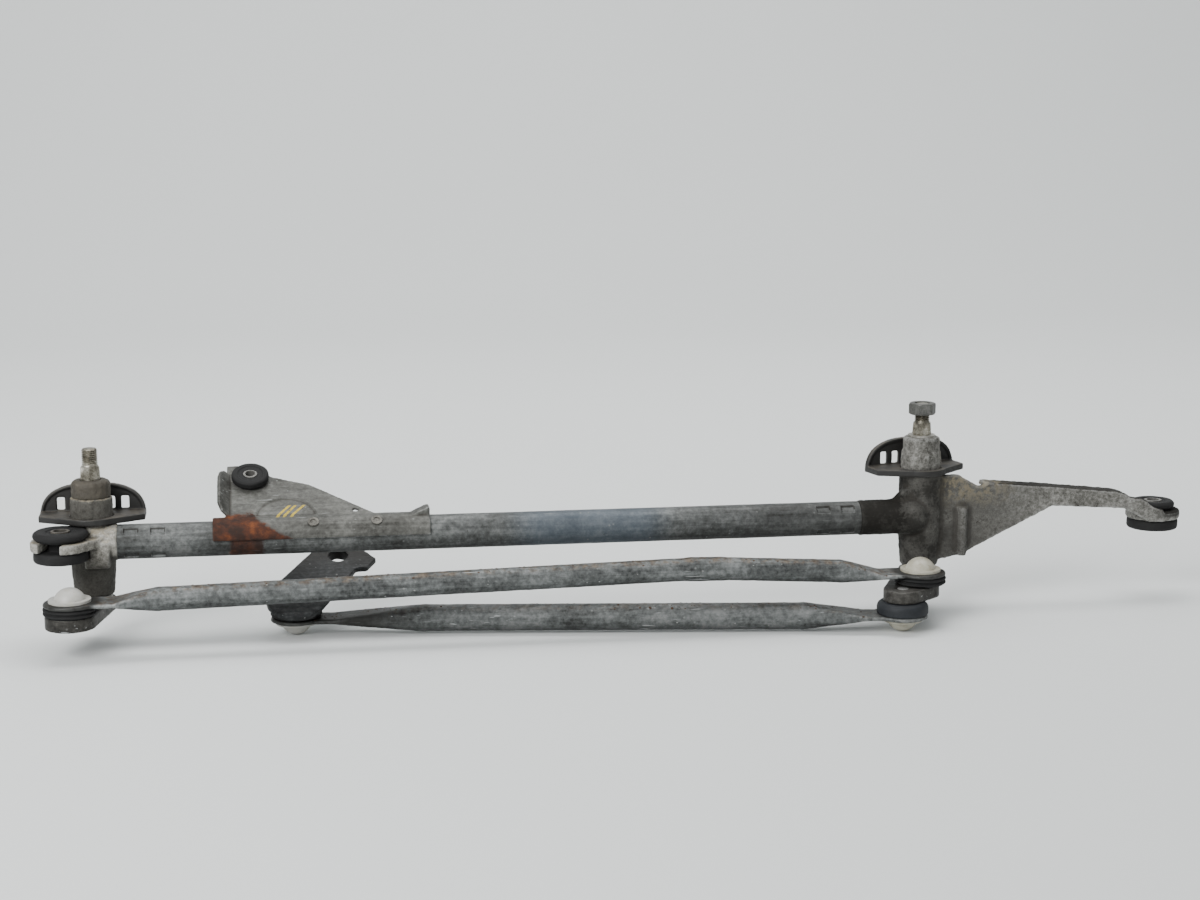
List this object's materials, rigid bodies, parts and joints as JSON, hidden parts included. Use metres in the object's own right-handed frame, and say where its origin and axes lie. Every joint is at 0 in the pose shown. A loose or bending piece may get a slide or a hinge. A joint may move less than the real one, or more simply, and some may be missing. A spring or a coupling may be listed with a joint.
{
  "type": "windscreen wiper linkage",
  "caption": "Windscreen wiper linkage: frame tube crimped on two cast spindle housings, rocker levers joined by a tandem link, and a drive link with its motor crank, on rubber mounts.",
  "frame": {"origin": "middle of the plan outline, on the plane that the two lower ball sockets rest on", "axes": "+X along the frame tube towards the long mounting arm, -Y the side of the two links, +Z along the spindles towards their threads"},
  "size_m": [0.7624, 0.1178, 0.1396],
  "materials": {
    "tube": "weathered zinc",
    "cast_left": "as cast, grimy",
    "cast_right": "as cast, grimy",
    "bracket_steel": "zinc plate, rusty end",
    "rivet_steel": "dull zinc",
    "bush": "sintered",
    "cap_rubber": "dusty",
    "shield_plastic": "moulded, dusty",
    "grommet_rubber": "matt",
    "sleeve_steel": "zinc",
    "spindle_steel": "zinc, worn",
    "lever_steel": "dull zinc",
    "ball_steel": "greased",
    "ring_steel": "bright",
    "nut_steel": "dull zinc",
    "link_steel": "weathered zinc",
    "socket_plastic": "aged white",
    "boot_rubber": "matt",
    "crank_steel": "dark zinc"
  },
  "bodies": {
    "frame": {"frame_tube": "tube", "left_housing": "cast_left", "right_housing": "cast_right", "motor_bracket": "bracket_steel", "bracket_rivets": "rivet_steel", "left_upper_bush": "bush", "left_lower_bush": "bush", "right_upper_bush": "bush", "right_lower_bush": "bush", "left_dust_cap": "cap_rubber", "left_shield": "shield_plastic", "right_shield": "shield_plastic", "left_grommet": "grommet_rubber", "left_sleeve": "sleeve_steel", "right_grommet": "grommet_rubber", "right_sleeve": "sleeve_steel", "bracket_grommet": "grommet_rubber", "bracket_sleeve": "sleeve_steel"},
    "left_rocker": {"left_spindle": "spindle_steel", "left_lever": "lever_steel", "left_ball_stud": "ball_steel", "left_ring": "ring_steel", "left_washer": "ring_steel"},
    "right_rocker": {"right_spindle": "spindle_steel", "right_lever": "lever_steel", "right_upper_ball_stud": "ball_steel", "right_lower_ball_stud": "ball_steel", "right_nut": "nut_steel", "right_ring": "ring_steel", "right_washer": "ring_steel"},
    "tandem_link": {"tandem_rod": "link_steel", "tandem_left_socket": "socket_plastic", "tandem_right_socket": "socket_plastic", "tandem_left_boot": "boot_rubber", "tandem_right_boot": "boot_rubber"},
    "drive_link": {"drive_rod": "link_steel", "drive_crank_socket": "socket_plastic", "drive_rocker_socket": "socket_plastic", "drive_crank_boot": "boot_rubber", "drive_rocker_boot": "boot_rubber"},
    "crank": {"crank_arm": "crank_steel", "crank_ball_stud": "ball_steel"}
  },
  "joints": [
    {"name": "right_spindle_turn", "type": "hinge", "parent": "frame", "child": "right_rocker", "pos_m": [0.19525, 0.01361, 0.06], "axis": [0, 0, 1], "range_deg": [-30, 55]},
    {"name": "left_spindle_turn", "type": "hinge", "parent": "frame", "child": "left_rocker", "pos_m": [-0.34475, 0.01361, 0.06], "axis": [0, 0, 1], "range_deg": [-30, 55]},
    {"name": "tandem_pivot", "type": "hinge", "parent": "right_rocker", "child": "tandem_link", "pos_m": [0.18325, -0.03039, 0.035], "axis": [0, 0, 1], "range_deg": [-55, 30]},
    {"name": "drive_pivot", "type": "hinge", "parent": "right_rocker", "child": "drive_link", "pos_m": [0.16825, -0.04239, 0.0102], "axis": [0, 0, 1], "range_deg": [-55, 30]},
    {"name": "crank_pivot", "type": "hinge", "parent": "drive_link", "child": "crank", "pos_m": [-0.21875, 0.00861, 0.0102], "axis": [0, -0.4067, 0.9135], "range_deg": [-40, 72]}
  ],
  "couplings": [
    {"joint": "left_spindle_turn", "follows": "right_spindle_turn", "ratio": 1},
    {"joint": "tandem_pivot", "follows": "right_spindle_turn", "ratio": -1},
    {"joint": "drive_pivot", "follows": "right_spindle_turn", "ratio": -1},
    {"joint": "crank_pivot", "follows": "right_spindle_turn", "ratio": 1.3}
  ]
}
